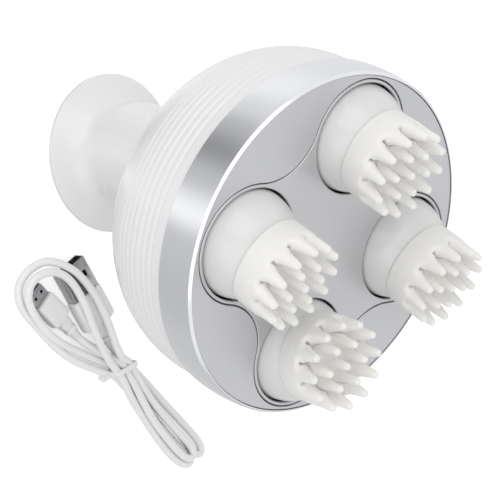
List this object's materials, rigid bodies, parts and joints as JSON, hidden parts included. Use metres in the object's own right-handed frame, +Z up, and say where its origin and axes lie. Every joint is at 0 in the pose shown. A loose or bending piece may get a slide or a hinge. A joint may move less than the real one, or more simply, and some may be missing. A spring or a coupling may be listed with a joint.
{
  "type": "electric scalp massager",
  "caption": "Handheld electric scalp massager with domed body, silver face ring, turning clawed heads, flared knob handle and bundled charging lead.",
  "frame": {"origin": "centre of the handle's flat end, which the massager stands on", "axes": "+Z up along the handle's axis; the body leans towards -Y; X across, normal to the plane in which it leans"},
  "size_m": [0.1124, 0.1467, 0.1418],
  "materials": {
    "shell": "white gloss moulding",
    "end_cap": "white satin moulding",
    "ring": "bright silver plating",
    "face": "silver paint, satin",
    "carrier": "black moulding",
    "cup": "white gloss moulding",
    "claw": "soft white silicone",
    "button": "silver grey moulding",
    "port_cover": "soft grey silicone",
    "light": "frosted light guide",
    "gearbox": "natural moulding",
    "gear": "natural acetal",
    "steel": "turned steel",
    "bush": "sintered bronze",
    "seal": "black nitrile",
    "board": "green circuit board",
    "electronics": "black moulding",
    "battery": "blue sleeve",
    "lead": "white lead",
    "overmould": "white overmould",
    "plug_metal": "nickel plated steel",
    "tie": "white wire tie"
  },
  "bodies": {
    "root": {"handle_shell": "shell", "handle_end_cap": "end_cap", "light_ring": "light", "control_board": "board", "tact_switch": "electronics", "charge_socket": "steel", "battery": "battery", "battery_cradle": "gearbox", "dome_shell": "shell", "body_seal": "seal", "silver_ring": "ring", "trim_plate": "face", "clover_plate": "face", "face_carrier": "carrier", "gearbox_base": "gearbox", "gearbox_cover": "gearbox", "gear_gasket": "seal", "gearbox_screws": "steel", "motor": "steel", "motor_screws": "steel", "centre_axle": "steel", "idler_axle": "steel", "spindle_bushes_right": "bush", "shaft_seal_right": "seal", "spindle_bushes_back": "bush", "shaft_seal_back": "seal", "spindle_bushes_left": "bush", "shaft_seal_left": "seal", "spindle_bushes_front": "bush", "shaft_seal_front": "seal", "usb_a_shell": "plug_metal", "usb_a_overmould": "overmould", "micro_shell": "plug_metal", "micro_overmould": "overmould", "cord_hank": "lead", "cord_tie": "tie"},
    "power_button": {"power_button": "button"},
    "port_cover": {"port_cover": "port_cover"},
    "drive_gear": {"drive_gear": "gear"},
    "idler_gear": {"idler_gear": "gear"},
    "motor_pinion": {"motor_pinion": "bush", "motor_shaft": "steel"},
    "head_right": {"output_gear_right": "gear", "spindle_right": "steel", "cup_right": "cup", "claw_cap_right": "claw"},
    "head_back": {"output_gear_back": "gear", "spindle_back": "steel", "cup_back": "cup", "claw_cap_back": "claw"},
    "head_left": {"output_gear_left": "gear", "spindle_left": "steel", "cup_left": "cup", "claw_cap_left": "claw"},
    "head_front": {"output_gear_front": "gear", "spindle_front": "steel", "cup_front": "cup", "claw_cap_front": "claw"}
  },
  "joints": [
    {"name": "power_press", "type": "slide", "parent": "root", "child": "power_button", "axis": [0, 0, 1], "range_m": [0, 0.0008], "stiffness_N_per_m": 300},
    {"name": "port_open", "type": "hinge", "parent": "root", "child": "port_cover", "pos_m": [0, 0.0154, 0.0023], "axis": [1, 0, 0], "range_deg": [0, 110], "stiffness_Nm_per_rad": 0.002},
    {"name": "drive_spin", "type": "hinge", "parent": "root", "child": "drive_gear", "pos_m": [0, -0.02221, 0.08238], "axis": [0, -0.3173, 0.9483], "continuous": true},
    {"name": "idler_spin", "type": "hinge", "parent": "root", "child": "idler_gear", "pos_m": [0.02036, -0.00226, 0.08695], "axis": [0, -0.3173, 0.9483], "continuous": true},
    {"name": "motor_spin", "type": "hinge", "parent": "root", "child": "motor_pinion", "pos_m": [0.01153, -0.00938, 0.08035], "axis": [0, -0.3173, 0.9483], "continuous": true},
    {"name": "head_right_spin", "type": "hinge", "parent": "root", "child": "head_right", "pos_m": [0.0345, -0.02845, 0.10102], "axis": [0, -0.3173, 0.9483], "continuous": true},
    {"name": "head_back_spin", "type": "hinge", "parent": "root", "child": "head_back", "pos_m": [0, 0.00427, 0.11196], "axis": [0, -0.3173, 0.9483], "continuous": true},
    {"name": "head_left_spin", "type": "hinge", "parent": "root", "child": "head_left", "pos_m": [-0.0345, -0.02845, 0.10102], "axis": [0, -0.3173, 0.9483], "continuous": true},
    {"name": "head_front_spin", "type": "hinge", "parent": "root", "child": "head_front", "pos_m": [0, -0.06116, 0.09007], "axis": [0, -0.3173, 0.9483], "continuous": true}
  ],
  "couplings": [
    {"joint": "idler_spin", "follows": "drive_spin", "ratio": -5},
    {"joint": "motor_spin", "follows": "drive_spin", "ratio": 20},
    {"joint": "head_right_spin", "follows": "drive_spin", "ratio": -1.6538},
    {"joint": "head_back_spin", "follows": "drive_spin", "ratio": -1.6538},
    {"joint": "head_left_spin", "follows": "drive_spin", "ratio": -1.6538},
    {"joint": "head_front_spin", "follows": "drive_spin", "ratio": -1.6538}
  ]
}
